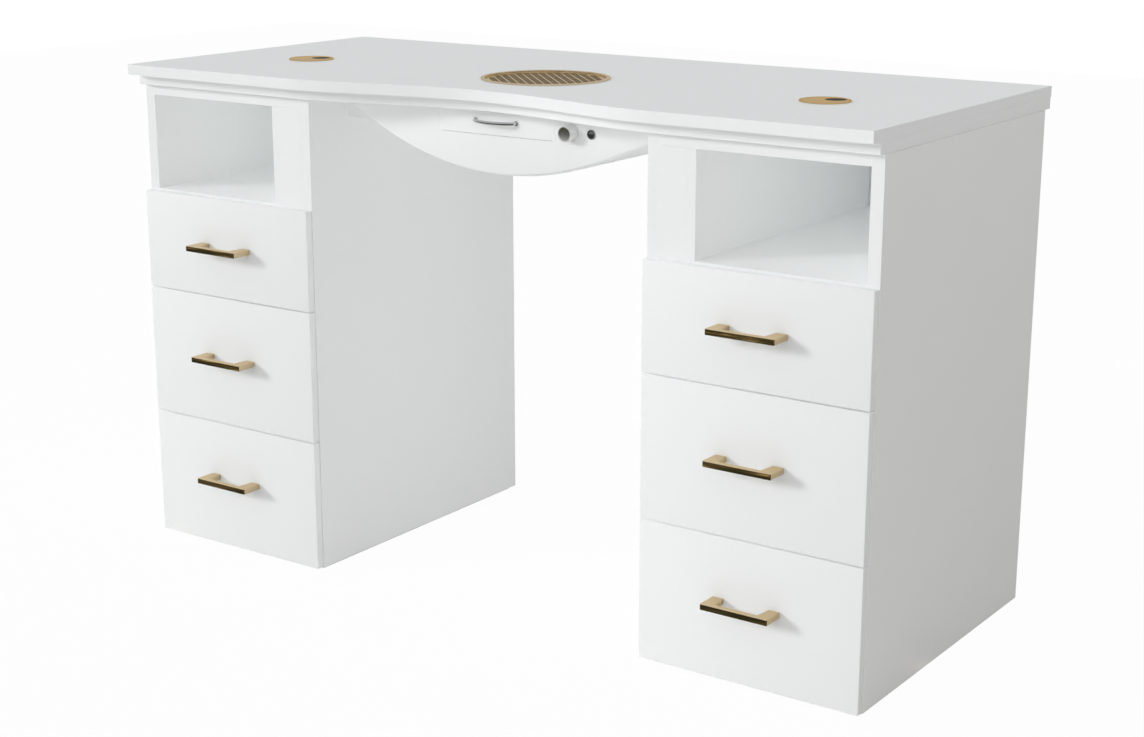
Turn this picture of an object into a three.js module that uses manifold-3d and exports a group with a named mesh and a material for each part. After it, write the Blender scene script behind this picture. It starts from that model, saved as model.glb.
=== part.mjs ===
// Manicure table: two drawer pedestals under a bow-cut worktop, with a dust
// collector hung under the middle. Millimetres, +Z up, front towards -Y,
// origin on the floor under the middle of the overall box.
import * as THREE from 'three';
import { mergeVertices } from 'three/addons/utils/BufferGeometryUtils.js';
import Module from 'manifold-3d';

const wasm = await Module();
wasm.setup();

// ---- Driving dimensions ----
const GAP = 0.3;                  // clear gap between pieces that rest on each other
const GLIDE = 3;                  // floor glides under the pedestals
const BOARD = 16;                 // worktop, under-top, shelves and rails
const SIDE_BOARD = 18;            // pedestal side panels
const BACK_BOARD = 4;             // pedestal back panels
const CARCASS_HEIGHT = 728;
const CARCASS_TOP = GLIDE + CARCASS_HEIGHT;
const WORKTOP_TOP = CARCASS_TOP + 2 * BOARD;

const WIDTH = 1270;
const BACK = 281.5;                // rear edge of the worktop
const DEPTH = 550;
const FRONT = BACK - DEPTH;
const BOW = { half: 325, depth: 49, steps: 40 };  // hollow in the front edge
const UNDER_TOP_SETBACK = 22;
const CARCASS_FRONT = -233.5;
const CARCASS_BACK = 264.5;

const PEDESTAL = { inner: 295.5, outer: 634.5 };  // distances from the middle plane
const NICHE = { inner: 369, floor: 568.3, ceiling: 714.5 };

const FACE = -246.5;              // drawer fronts, level with the under-top's front
const FRONT_BOARD = 12;
const SEAMS = [4, 206.5, 411, 565];               // heights of the joints between drawer fronts
const SEAM = 2;
const BOX = { side: 12, base: 6, clearance: 13, back: 215.5, lift: 18, headroom: 24 };
const HANDLE = { length: 102, leg: 16.5, bar: 9.5, reach: 34.7, height: 8, raise: [11.5, 5.6, 2] };

const DUCT_Y = -50.5;             // grille, fan and grommets share this line
const GRILLE = {
  rim: 94.3, sleeve: 90, recess: 88.4, bore: 85.5, mesh: 84, pitch: 11.5, bar: 2, drop: 2.7,
};
const GROMMET = {
  x: 454.5, rim: 35, sleeve: 32.2, recess: 33.4, bore: 30.4, eye: 14.6, offset: 15.5, turn: 53,
};

const HULL = {
  half: 294.7, top: CARCASS_TOP - 0.4, belly: 636.2, rise: 490, spread: 467, front: -173.4, tuck: 9,
  sweep: 12, back: 64.5, wall: 3.5, frontRound: 8, backRound: 9, stations: 30,
};
const TRAY = { half: 98, low: 694.5, high: 726.5, back: 50.5, wall: 2, slit: 0.7 };
const RAIL = { front: -151.5, low: 695.5, inner: 132 };
const FAN = { half: 71, low: 646, high: 684, bore: 66, rotor: 64 };
const CONTROLS = { knob: 128, button: 161, height: 708, pad: 6.35 };
const INLET = { x: 160, z: 700, width: 30, height: 22, depth: 22 };

// ---- Finishes ----
const finishes = {
  board: { color: 0xeceeee, roughness: 0.42, metalness: 0 },
  melamine: { color: 0xe6e8e8, roughness: 0.5, metalness: 0 },
  gold: { color: 0xc9a96a, roughness: 0.25, metalness: 1 },
  chrome: { color: 0xd8dadc, roughness: 0.08, metalness: 1 },
  shell: { color: 0xf1f2f2, roughness: 0.3, metalness: 0 },
  rubber: { color: 0x141414, roughness: 0.7, metalness: 0 },
  filter: { color: 0x6d5a49, roughness: 0.95, metalness: 0 },
  fan: { color: 0x1c1d1f, roughness: 0.55, metalness: 0 },
};
const table = new THREE.Group();

function add(name, geometry, finish, parent = table) {
  const material = new THREE.MeshStandardMaterial(finishes[finish]);
  const mesh = new THREE.Mesh(geometry, material);
  mesh.name = name;
  parent.add(mesh);
  return mesh;
}

// ---- Solids: three.js makes the shapes, manifold joins and cuts them ----
function toSolid(geometry) {
  const plain = geometry.clone();
  plain.deleteAttribute('normal');
  plain.deleteAttribute('uv');
  const merged = mergeVertices(plain, 1e-4);
  return new wasm.Manifold(new wasm.Mesh({
    numProp: 3,
    vertProperties: new Float32Array(merged.attributes.position.array),
    triVerts: new Uint32Array(merged.index.array),
  }));
}

function toGeometry(solid) {
  const mesh = solid.getMesh();
  const geometry = new THREE.BufferGeometry();
  geometry.setAttribute('position', new THREE.BufferAttribute(mesh.vertProperties, 3));
  geometry.setIndex(new THREE.BufferAttribute(mesh.triVerts, 1));
  geometry.computeVertexNormals();
  return geometry;
}

const joined = (first, ...rest) => rest.reduce((sum, solid) => sum.add(solid), first);
const cut = (body, ...tools) => tools.reduce((left, tool) => left.subtract(tool), body);

function boxGeometry([x0, x1], [y0, y1], [z0, z1]) {
  const geometry = new THREE.BoxGeometry(x1 - x0, y1 - y0, z1 - z0);
  return geometry.translate((x0 + x1) / 2, (y0 + y1) / 2, (z0 + z1) / 2);
}
const box = (x, y, z) => toSolid(boxGeometry(x, y, z));

function rod(x, y, radius, [z0, z1], sides = 36) {
  const geometry = new THREE.CylinderGeometry(radius, radius, z1 - z0, sides);
  return toSolid(geometry.rotateX(Math.PI / 2).translate(x, y, (z0 + z1) / 2));
}

// A closed outline of [radius, height] pairs turned about Z.
function turned(profile, sides) {
  const points = [...profile, profile[0]].map(([r, z]) => new THREE.Vector2(r, z));
  return new THREE.LatheGeometry(points, sides).rotateX(Math.PI / 2);
}

const mirrorX = (side, [a, b]) => (side > 0 ? [a, b] : [-b, -a]);

// ---- Worktop and under-top ----
const bow = (x) => (Math.abs(x) < BOW.half ? BOW.depth * (1 + Math.cos(Math.PI * x / BOW.half)) / 2 : 0);

function bowedSlab(halfWidth, front, [z0, z1], holes) {
  const outline = new THREE.Shape();
  outline.moveTo(-halfWidth, BACK);
  outline.lineTo(-halfWidth, front);
  for (let i = 0; i <= BOW.steps; i++) {
    const x = BOW.half * (2 * i / BOW.steps - 1);
    outline.lineTo(x, front + bow(x));
  }
  outline.lineTo(halfWidth, front);
  outline.lineTo(halfWidth, BACK);
  for (const { x, radius } of holes) {
    const hole = new THREE.Path();
    hole.absarc(x, DUCT_Y, radius, 0, 2 * Math.PI, true);
    outline.holes.push(hole);
  }
  const geometry = new THREE.ExtrudeGeometry(outline, {
    depth: z1 - z0, bevelEnabled: false, curveSegments: 18,
  });
  return geometry.translate(0, 0, z0);
}

function tops() {
  const grommetHoles = [-GROMMET.x, GROMMET.x].map((x) => ({ x, radius: GROMMET.sleeve + 0.4 }));
  const slabHoles = [{ x: 0, radius: GRILLE.sleeve + 0.4 }, ...grommetHoles];
  const slab = [WORKTOP_TOP - BOARD + GAP, WORKTOP_TOP];
  add('worktop', bowedSlab(WIDTH / 2, FRONT, slab, slabHoles), 'board');
  const under = [CARCASS_TOP, CARCASS_TOP + BOARD];
  add('under_top', bowedSlab(WIDTH / 2 - 0.5, FRONT + UNDER_TOP_SETBACK, under, slabHoles), 'board');
}

// ---- Pedestals ----
function pedestal(side, word) {
  const name = (piece) => `pedestal_${word}_${piece}`;
  const board = (piece, x, y, z, finish = 'melamine') => add(name(piece), boxGeometry(mirrorX(side, x), y, z), finish);
  const full = [CARCASS_FRONT, CARCASS_BACK];
  const inside = [CARCASS_FRONT, CARCASS_BACK - BACK_BOARD - GAP];
  const height = [GLIDE, CARCASS_TOP - GAP];
  const innerFace = PEDESTAL.inner + SIDE_BOARD;
  const outerFace = PEDESTAL.outer - SIDE_BOARD;
  const between = [innerFace + GAP, outerFace - GAP];
  board('inner_side', [PEDESTAL.inner, innerFace], full, height, 'board');
  board('outer_side', [outerFace, PEDESTAL.outer], full, height, 'board');
  board('back', between, [CARCASS_BACK - BACK_BOARD, CARCASS_BACK], height);
  board('bottom', between, inside, [GLIDE, GLIDE + BOARD]);
  board('niche_floor', between, inside, [NICHE.floor - BOARD, NICHE.floor], 'board');

  const lid = box(mirrorX(side, between), inside, [NICHE.ceiling, CARCASS_TOP - GAP]);
  const cableHole = rod(side * GROMMET.x, DUCT_Y, GROMMET.sleeve + 2, [NICHE.ceiling - 1, CARCASS_TOP]);
  add(name('top'), toGeometry(cut(lid, cableHole)), 'board');

  const nicheHeight = [NICHE.floor + GAP, NICHE.ceiling - GAP];
  const wall = [NICHE.inner - SIDE_BOARD, NICHE.inner];
  board('niche_wall', wall, inside, nicheHeight, 'board');
  const stile = [between[0], wall[0] - GAP];
  board('niche_stile', stile, [CARCASS_FRONT, CARCASS_FRONT + BOARD], nicheHeight, 'board');

  const strip = { inset: 4, width: 10, back: 12 };
  for (const [edge, x] of [['inner', PEDESTAL.inner + strip.inset], ['outer', outerFace + strip.inset]]) {
    board(`glide_${edge}`, [x, x + strip.width],
      [CARCASS_FRONT + strip.inset, CARCASS_BACK - strip.back], [0, GLIDE - GAP], 'rubber');
  }
}

// ---- Drawers: false front, open box and pull ----
function handleGeometry() {
  const { length, leg, bar, reach } = HANDLE;
  const half = length / 2;
  const chamfer = 1.2;
  const outline = new THREE.Shape();
  outline.moveTo(-half, 0);
  outline.lineTo(-half, -reach + chamfer);
  outline.lineTo(-half + chamfer, -reach);
  outline.lineTo(half - chamfer, -reach);
  outline.lineTo(half, -reach + chamfer);
  outline.lineTo(half, 0);
  outline.lineTo(half - leg, 0);
  outline.lineTo(half - leg - 3, bar - reach);
  outline.lineTo(leg + 3 - half, bar - reach);
  outline.lineTo(leg - half, 0);
  return new THREE.ExtrudeGeometry(outline, { depth: HANDLE.height, bevelEnabled: false });
}

function drawer(side, word, level) {
  const [place, base] = [['bottom', 'middle', 'top'][level], SEAMS[level]];
  const name = (piece) => `drawer_${word}_${place}_${piece}`;
  const low = base + (level ? SEAM / 2 : 0);
  const high = SEAMS[level + 1] - (level < 2 ? SEAM / 2 : 0);
  const reveal = 0.7;
  const frontX = mirrorX(side, [PEDESTAL.inner + reveal, PEDESTAL.outer - reveal]);
  add(name('front'), boxGeometry(frontX, [FACE, FACE + FRONT_BOARD], [low, high]), 'board');

  const boxX = [PEDESTAL.inner + SIDE_BOARD + BOX.clearance, PEDESTAL.outer - SIDE_BOARD - BOX.clearance];
  const boxY = [FACE + FRONT_BOARD + GAP, BOX.back];
  const boxZ = [low + BOX.lift, high - BOX.headroom];
  const hollow = (range, wall) => [range[0] + wall, range[1] - wall];
  const shell = cut(
    box(mirrorX(side, boxX), boxY, boxZ),
    box(mirrorX(side, hollow(boxX, BOX.side)), hollow(boxY, BOX.side), [boxZ[0] + BOX.base, boxZ[1] + 1]),
  );
  add(name('box'), toGeometry(shell), 'melamine');

  const handle = add(name('handle'), handleGeometry(), 'gold');
  const middle = side * (PEDESTAL.inner + PEDESTAL.outer) / 2;
  handle.position.set(middle, FACE - GAP, (low + high - HANDLE.height) / 2 + HANDLE.raise[level]);
}

// ---- Round extraction grille in the worktop ----
function grille() {
  const { rim, sleeve, recess, bore, mesh, pitch, bar, drop } = GRILLE;
  const top = WORKTOP_TOP;
  const ring = turned([
    [bore, top - 13], [sleeve, top - 13], [sleeve, top + GAP], [rim, top + GAP], [rim, top + 1.2],
    [rim - 0.8, top + 2], [recess + 0.8, top + 2], [recess, top + 1.2], [recess, top - drop], [bore, top - drop],
  ], 48);
  add('grille_ring', ring, 'gold').position.set(0, DUCT_Y, 0);

  const plateZ = [top - drop + GAP, top - drop + 1.6];
  const windows = [];
  const reach = Math.ceil(mesh / pitch);
  const window = (pitch - bar) / 2;
  for (let i = -reach; i <= reach; i++) {
    for (let j = -reach; j <= reach; j++) {
      const [u, v] = [(i + 0.5) * pitch, (j + 0.5) * pitch];
      if (Math.hypot(Math.abs(u) + window, Math.abs(v) + window) > mesh + window) continue;
      windows.push(box([u - window, u + window], [v - window, v + window], [plateZ[0] - 1, plateZ[1] + 1]));
    }
  }
  const openArea = wasm.Manifold.union(windows).intersect(rod(0, 0, mesh, [plateZ[0] - 1, plateZ[1] + 1], 48));
  const plate = cut(rod(0, 0, recess - GAP, plateZ, 48), openArea);
  const mounted = add('grille_plate', toGeometry(plate), 'gold');
  mounted.rotation.z = Math.PI / 4;
  mounted.position.set(0, DUCT_Y, 0);
}

// ---- Cable grommets: sleeve, turning cap with an off-centre eye, rubber seal ----
function grommet(side, word) {
  const { x, rim, sleeve, recess, bore, eye } = GROMMET;
  const top = WORKTOP_TOP;
  const turn = GROMMET.turn * Math.PI / 180;
  const [eyeX, eyeY] = [GROMMET.offset * Math.cos(turn), GROMMET.offset * Math.sin(turn)];
  const place = new THREE.Group();
  place.position.set(side * x, DUCT_Y, 0);
  table.add(place);
  const ring = turned([
    [bore, top - 14], [sleeve, top - 14], [sleeve, top + GAP], [rim, top + GAP], [rim, top + 1.1],
    [rim - 0.7, top + 1.8], [recess + 0.4, top + 1.8], [recess, top + 1.4], [recess, top + 0.2], [bore, top + 0.2],
  ], 36);
  add(`grommet_${word}_ring`, ring, 'gold', place);

  const capZ = [top + 0.2 + GAP, top + 1.6];
  const cap = cut(rod(0, 0, recess - GAP, capZ), rod(eyeX, eyeY, eye, [top - 1, top + 3], 36));
  add(`grommet_${word}_cap`, toGeometry(cap), 'gold', place);

  const [lip, throat] = [eye - 0.5, 4];
  const seal = turned([
    [throat, top - 2], [lip, top - 2.8], [lip, top + 1], [lip - 1.2, top + 1], [lip - 1.6, top - 0.4],
    [throat, top - 1],
  ], 28);
  add(`grommet_${word}_seal`, seal, 'rubber', place).position.set(eyeX, eyeY, 0);
}

// ---- Collector housing: a boat-shaped shell, open at the top ----
const bellyAt = (x) => HULL.belly + HULL.rise * (Math.hypot(1, x / HULL.spread) - 1);
const faceAt = (x, z) => HULL.front + HULL.tuck * ((HULL.top - z) / 95) ** 3 + HULL.sweep * (x / 240) ** 2;

// Section of the hull at x, in [y, z] points from the front rim round to the back rim.
function hullSection(x, inset) {
  const low = bellyAt(x) + inset;
  const top = HULL.top + (inset ? 5 : 0);
  const height = HULL.top - low;
  const front = (z) => faceAt(x, z) + inset;
  const back = HULL.back - inset;
  const r = Math.min(HULL.frontRound, height * 0.6);
  const rBack = Math.min(HULL.backRound, height * 0.6);
  const section = [[front(HULL.top), top]];
  for (const share of [0.25, 0.5, 0.75, 1]) {
    const z = HULL.top - share * (height - r);
    section.push([front(z), z]);
  }
  const round = (from, corner, to) => {
    for (const t of [1 / 3, 2 / 3, 1]) {
      const [a, b, c] = [(1 - t) ** 2, 2 * t * (1 - t), t ** 2];
      section.push([0, 1].map((k) => a * from[k] + b * corner[k] + c * to[k]));
    }
  };
  round(section.at(-1), [front(low), low], [front(low) + r, low]);
  section.push([back - rBack, low]);
  round(section.at(-1), [back, low], [back, low + rBack]);
  section.push([back, top]);
  return section;
}

function hullSolid(inset) {
  const half = HULL.half - inset;
  const positions = [];
  const index = [];
  const ring = hullSection(0, inset).length;
  for (let i = 0; i <= HULL.stations; i++) {
    const x = half * (2 * i / HULL.stations - 1);
    for (const [y, z] of hullSection(x, inset)) positions.push(x, y, z);
  }
  for (let i = 0; i < HULL.stations; i++) {
    for (let j = 0; j < ring; j++) {
      const [a, b] = [i * ring + j, i * ring + (j + 1) % ring];
      const [c, d] = [a + ring, b + ring];
      index.push(a, b, c, b, d, c);
    }
  }
  const capFan = (start, flip) => {
    for (let j = 1; j < ring - 1; j++) {
      index.push(start, ...(flip ? [start + j, start + j + 1] : [start + j + 1, start + j]));
    }
  };
  capFan(0, false);
  capFan(HULL.stations * ring, true);
  const geometry = new THREE.BufferGeometry();
  geometry.setAttribute('position', new THREE.Float32BufferAttribute(positions, 3));
  geometry.setIndex(index);
  return toSolid(geometry);
}

// A frame on the housing's face: +Z points out of the face at (x, height).
function faceFrame(x) {
  const z = CONTROLS.height;
  const slope = 3 * HULL.tuck * (HULL.top - z) ** 2 / 95 ** 3;
  const frame = new THREE.Group();
  frame.position.set(x, faceAt(x, z), z);
  frame.rotation.x = Math.PI / 2 + Math.atan(slope);
  return frame;
}

function throughFace(x, radius) {
  const frame = faceFrame(x);
  frame.updateMatrixWorld();
  const drill = new THREE.CylinderGeometry(radius, radius, 20, 24).rotateX(Math.PI / 2);
  return toSolid(drill.applyMatrix4(frame.matrixWorld));
}

function collectorHousing(outer, inner) {
  const slots = [];
  const slot = { count: 14, pitch: 13, width: 6, low: 662, high: 712 };
  for (let i = 0; i < slot.count; i++) {
    const x = (i - (slot.count - 1) / 2) * slot.pitch - 20;
    slots.push(box([x - slot.width / 2, x + slot.width / 2], [HULL.back - 6, HULL.back + 6], [slot.low, slot.high]));
  }
  const railClear = 0.6;
  const railNotch = (side) => box(mirrorX(side, [RAIL.inner - railClear, PEDESTAL.inner + 2]),
    [RAIL.front - railClear, RAIL.front + BOARD + railClear], [RAIL.low - railClear, HULL.top + 10]);
  const trayMouth = box([-TRAY.half - TRAY.slit, TRAY.half + TRAY.slit], [HULL.front - 20, HULL.front + 30],
    [TRAY.low - TRAY.slit, TRAY.high + TRAY.slit]);
  const inletHole = box([INLET.x - INLET.width / 2 - GAP, INLET.x + INLET.width / 2 + GAP],
    [HULL.back - 6, HULL.back + 6], [INLET.z - INLET.height / 2 - GAP, INLET.z + INLET.height / 2 + GAP]);
  const shell = cut(outer, inner, railNotch(1), railNotch(-1), trayMouth, inletHole,
    throughFace(CONTROLS.knob, 3.8), throughFace(CONTROLS.button, CONTROLS.pad + 0.5), ...slots);
  add('collector_housing', toGeometry(shell), 'shell');
}

// ---- Filter tray with its front, bow handle and pleated filter ----
function filterTray(outer, inner) {
  const mouth = box([-TRAY.half, TRAY.half], [HULL.front - 20, HULL.front + 40], [TRAY.low, TRAY.high]);
  const front = cut(outer.intersect(mouth), inner);
  const [half, low, high] = [TRAY.half - 5, TRAY.low + 3, TRAY.high - 3];
  const tub = box([-half, half], [HULL.front - 10, TRAY.back], [low, high]).intersect(hullSolid(1.2));
  const inside = box([-half + TRAY.wall, half - TRAY.wall], [HULL.front + 10, TRAY.back - TRAY.wall],
    [low + TRAY.wall, high + 5]);
  const vent = rod(0, DUCT_Y, 78, [low - 5, low + 5], 40);
  add('filter_tray', toGeometry(cut(joined(front, tub), inside, vent)), 'shell');

  const filter = { half: 88, pleats: 16, low: low + TRAY.wall + GAP, flank: 12, high: 17 };
  const outline = new THREE.Shape();
  outline.moveTo(-filter.half, 0);
  outline.lineTo(filter.half, 0);
  outline.lineTo(filter.half, filter.high);
  for (let i = 0; i < filter.pleats; i++) {
    const x = filter.half * (1 - (2 * i + 1) / filter.pleats);
    outline.lineTo(x, filter.flank);
    outline.lineTo(x - filter.half / filter.pleats, filter.high);
  }
  const pleats = new THREE.ExtrudeGeometry(outline, { depth: 2 * filter.half, bevelEnabled: false });
  pleats.rotateX(Math.PI / 2).translate(0, DUCT_Y + filter.half, filter.low);
  add('filter_cartridge', pleats, 'filter');

  const z = (TRAY.low + TRAY.high) / 2 + 3.8;
  const face = faceAt(0, z) - 0.6;
  const pull = { middle: 2.3, foot: 35.7, reach: 14.5, droop: 0.5, steps: 12 };
  const bowPoints = Array.from({ length: pull.steps + 1 }, (_, i) => {
    const turn = Math.PI * (1 - i / pull.steps);
    const out = Math.sin(turn);
    return new THREE.Vector3(pull.middle + pull.foot * Math.cos(turn), face - pull.reach * out, z - pull.droop * out);
  });
  const bowLine = new THREE.CatmullRomCurve3(bowPoints);
  const section = new THREE.Shape().absarc(0, 0, 2.1, 0, 2 * Math.PI);
  const bar = new THREE.ExtrudeGeometry(section, { extrudePath: bowLine, steps: 40, curveSegments: 6 });
  add('tray_handle', bar, 'chrome');
}

// ---- Fan under the filter ----
function fan() {
  const { half, low, high, bore, rotor } = FAN;
  const y = [DUCT_Y - half, DUCT_Y + half];
  const flange = box([-140, 140], [HULL.front + 50, HULL.back - 8], [high, high + 3]);
  const body = cut(joined(box([-half, half], y, [low, high + 1]), flange), rod(0, DUCT_Y, bore, [low - 1, high + 10]));
  const spokes = [0, 1, 2].map((i) => {
    const arm = new THREE.BoxGeometry(2 * bore + 4, 7, 4).rotateZ(i * Math.PI / 3);
    return toSolid(arm.translate(0, DUCT_Y, low + 2));
  });
  add('fan_frame', toGeometry(joined(body, ...spokes, rod(0, DUCT_Y, 22, [low, low + 7], 32))), 'fan');

  const blades = 7;
  const hubRadius = 21;
  const vanes = Array.from({ length: blades }, (_, i) => {
    const vane = new THREE.BoxGeometry(rotor - hubRadius + 3, 2.2, 30);
    vane.rotateX(0.9).translate((rotor + hubRadius - 3) / 2, 0, 0).rotateZ(i * 2 * Math.PI / blades);
    return toSolid(vane);
  });
  const wheel = joined(rod(0, 0, hubRadius, [-12, 13], 32), ...vanes).intersect(rod(0, 0, rotor, [-14, 14], 56));
  add('fan_rotor', toGeometry(wheel), 'fan').position.set(0, DUCT_Y, (low + high) / 2 + 3);
}

// ---- Speed knob, power button and mains inlet ----
function controls() {
  const knobFrame = faceFrame(CONTROLS.knob);
  table.add(knobFrame);
  const knob = turned([
    [0, -12], [3, -12], [3, 1.1], [12.2, 1.1], [12.2, 2.6], [11.2, 3.6], [10.7, 14.8], [9.9, 15.6], [8.8, 15.1],
    [0, 14.4],
  ], 32);
  add('speed_knob', knob, 'chrome', knobFrame);

  const buttonFrame = faceFrame(CONTROLS.button);
  table.add(buttonFrame);
  const r = CONTROLS.pad;
  const button = turned([[0, -10], [r, -10], [r, 1], [r - 0.7, 1.7], [r - 2, 1.5], [0, 1.2]], 28);
  add('power_button', button, 'chrome', buttonFrame);

  const { x, z, width, height, depth } = INLET;
  const [rimX, rimZ, cavity] = [width / 2 + 5, height / 2 + 2, 4];
  const back = HULL.back;
  const body = joined(
    box([x - width / 2, x + width / 2], [back - depth, back + 1], [z - height / 2, z + height / 2]),
    box([x - rimX, x + rimX], [back + GAP, back + 3], [z - rimZ, z + rimZ]),
  );
  const socket = box([x - width / 2 + cavity, x + width / 2 - cavity], [back - depth + 5, back + 9],
    [z - height / 2 + cavity, z + height / 2 - cavity]);
  const pins = [-6, 0, 6].map((dx, i) => box([x + dx - 1, x + dx + 1], [back - depth + 4, back - 3],
    [z + (i === 1 ? 1.5 : -2.5) - 1.5, z + (i === 1 ? 1.5 : -2.5) + 1.5]));
  add('power_inlet', toGeometry(joined(cut(body, socket), ...pins)), 'rubber');
}

// ---- Rails that stiffen the top between the pedestals ----
function rails() {
  const z = [RAIL.low, CARCASS_TOP - GAP];
  const end = PEDESTAL.inner - GAP;
  for (const [side, word] of [[-1, 'left'], [1, 'right']]) {
    const x = mirrorX(side, [RAIL.inner, end]);
    add(`front_rail_${word}`, boxGeometry(x, [RAIL.front, RAIL.front + BOARD], z), 'board');
  }
  add('rear_rail', boxGeometry([-end, end], [CARCASS_BACK - BOARD, CARCASS_BACK], z), 'board');
}

tops();
for (const [side, word] of [[-1, 'left'], [1, 'right']]) {
  pedestal(side, word);
  for (const level of [0, 1, 2]) drawer(side, word, level);
  grommet(side, word);
}
grille();
const outer = hullSolid(0);
const inner = hullSolid(HULL.wall);
collectorHousing(outer, inner);
filterTray(outer, inner);
fan();
controls();
rails();

export default table;
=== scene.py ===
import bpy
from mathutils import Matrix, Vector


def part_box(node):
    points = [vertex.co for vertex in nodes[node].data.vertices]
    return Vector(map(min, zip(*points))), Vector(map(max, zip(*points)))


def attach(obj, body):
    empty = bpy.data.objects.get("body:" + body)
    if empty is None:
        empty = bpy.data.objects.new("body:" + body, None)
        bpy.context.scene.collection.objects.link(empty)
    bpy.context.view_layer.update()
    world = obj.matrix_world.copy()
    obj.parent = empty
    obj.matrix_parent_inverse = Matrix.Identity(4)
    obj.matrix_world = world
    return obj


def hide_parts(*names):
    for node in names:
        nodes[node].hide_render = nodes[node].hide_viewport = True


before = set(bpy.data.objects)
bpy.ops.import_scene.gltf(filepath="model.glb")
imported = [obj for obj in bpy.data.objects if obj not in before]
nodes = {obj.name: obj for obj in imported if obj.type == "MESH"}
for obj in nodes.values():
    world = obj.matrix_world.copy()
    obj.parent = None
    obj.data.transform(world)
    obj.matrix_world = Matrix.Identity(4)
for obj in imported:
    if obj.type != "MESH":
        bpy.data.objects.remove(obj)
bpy.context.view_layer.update()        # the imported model, in metres, front towards -Y

import math

import bmesh
import bpy
from mathutils import Matrix, Vector

mm = 0.001
print("frame loaded:", len(nodes), "nodes")

# ---------- camera ----------
cameraSetup = {
    "place": (1.6766, -2.3742, 1.0913),
    "tilt": math.pi / 2 - 0.260195,
    "turn": 0.611684,
    "lens": 62.07,
    "sensor": 36.0,
}


def placeCamera(setup):
    data = bpy.data.cameras.new("deskCamera")
    data.lens = setup["lens"]
    data.sensor_width = setup["sensor"]
    data.clip_start = 0.05
    camera = bpy.data.objects.new("deskCamera", data)
    camera.location = setup["place"]
    camera.rotation_euler = (setup["tilt"], 0, setup["turn"])
    bpy.context.scene.collection.objects.link(camera)
    bpy.context.scene.camera = camera


placeCamera(cameraSetup)
print("camera placed")


# ---------- node groups: effects that several finishes share ----------
def newGroup(name, inputs, outputs):
    group = bpy.data.node_groups.new(name, "ShaderNodeTree")
    for label, kind, value in inputs:
        socket = group.interface.new_socket(name=label, in_out="INPUT", socket_type=kind)
        socket.default_value = value
    for label, kind in outputs:
        group.interface.new_socket(name=label, in_out="OUTPUT", socket_type=kind)
    return group, group.nodes.new("NodeGroupInput"), group.nodes.new("NodeGroupOutput")


# a Mix node holds several sockets of one name, and only those of its own data type are enabled
def socketOf(sockets, key):
    return next(socket for socket in sockets if socket.name == key and socket.enabled)


def addNode(tree, kind, values=None, **settings):
    node = tree.nodes.new(kind)
    for key, value in settings.items():
        setattr(node, key, value)
    for key, value in (values or {}).items():
        socketOf(node.inputs, key).default_value = value
    return node


def mathNode(tree, operation, a, b):
    node = addNode(tree, "ShaderNodeMath", operation=operation)
    for socket, value in zip(node.inputs, (a, b)):
        if isinstance(value, (int, float)):
            socket.default_value = value
        else:
            tree.links.new(value, socket)
    return node.outputs[0]


# soft mottling of colour and gloss, as a sprayed or laminated sheet has
def makeMottle():
    group, inside, out = newGroup(
        "mottle",
        [("Color", "NodeSocketColor", (0.8, 0.8, 0.8, 1)), ("Amount", "NodeSocketFloat", 0.02),
         ("Rough", "NodeSocketFloat", 0.4), ("Rough Spread", "NodeSocketFloat", 0.06),
         ("Scale", "NodeSocketFloat", 6.0)],
        [("Color", "NodeSocketColor"), ("Roughness", "NodeSocketFloat")])
    link = group.links.new
    place = addNode(group, "ShaderNodeTexCoord")
    cloud = addNode(group, "ShaderNodeTexNoise", {"Detail": 4.0, "Roughness": 0.55})
    smear = addNode(group, "ShaderNodeTexNoise", {"Detail": 6.0, "Roughness": 0.7, "Distortion": 0.6})
    link(place.outputs["Object"], cloud.inputs["Vector"])
    link(place.outputs["Object"], smear.inputs["Vector"])
    link(inside.outputs["Scale"], cloud.inputs["Scale"])
    link(mathNode(group, "MULTIPLY", inside.outputs["Scale"], 5.3), smear.inputs["Scale"])
    swing = mathNode(group, "MULTIPLY", mathNode(group, "SUBTRACT", cloud.outputs["Fac"], 0.5),
                     inside.outputs["Amount"])
    shade = addNode(group, "ShaderNodeHueSaturation")
    link(inside.outputs["Color"], shade.inputs["Color"])
    link(mathNode(group, "ADD", 1.0, mathNode(group, "MULTIPLY", swing, 2.0)), shade.inputs["Value"])
    link(shade.outputs["Color"], out.inputs["Color"])
    wobble = mathNode(group, "MULTIPLY", mathNode(group, "SUBTRACT", smear.outputs["Fac"], 0.5),
                      inside.outputs["Rough Spread"])
    link(mathNode(group, "ADD", inside.outputs["Rough"], mathNode(group, "MULTIPLY", wobble, 2.0)),
         out.inputs["Roughness"])
    return group


# fine relief: orange peel with a little grit in it, as a height
def makePeel():
    group, inside, out = newGroup(
        "peel",
        [("Scale", "NodeSocketFloat", 500.0), ("Grit", "NodeSocketFloat", 0.3)],
        [("Height", "NodeSocketFloat")])
    link = group.links.new
    place = addNode(group, "ShaderNodeTexCoord")
    skin = addNode(group, "ShaderNodeTexNoise", {"Detail": 1.5, "Roughness": 0.4})
    grit = addNode(group, "ShaderNodeTexNoise", {"Detail": 3.0, "Roughness": 0.6})
    for texture in (skin, grit):
        link(place.outputs["Object"], texture.inputs["Vector"])
    link(inside.outputs["Scale"], skin.inputs["Scale"])
    link(mathNode(group, "MULTIPLY", inside.outputs["Scale"], 4.7), grit.inputs["Scale"])
    fine = mathNode(group, "MULTIPLY", grit.outputs["Fac"], inside.outputs["Grit"])
    link(mathNode(group, "ADD", skin.outputs["Fac"], fine), out.inputs["Height"])
    return group


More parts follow.
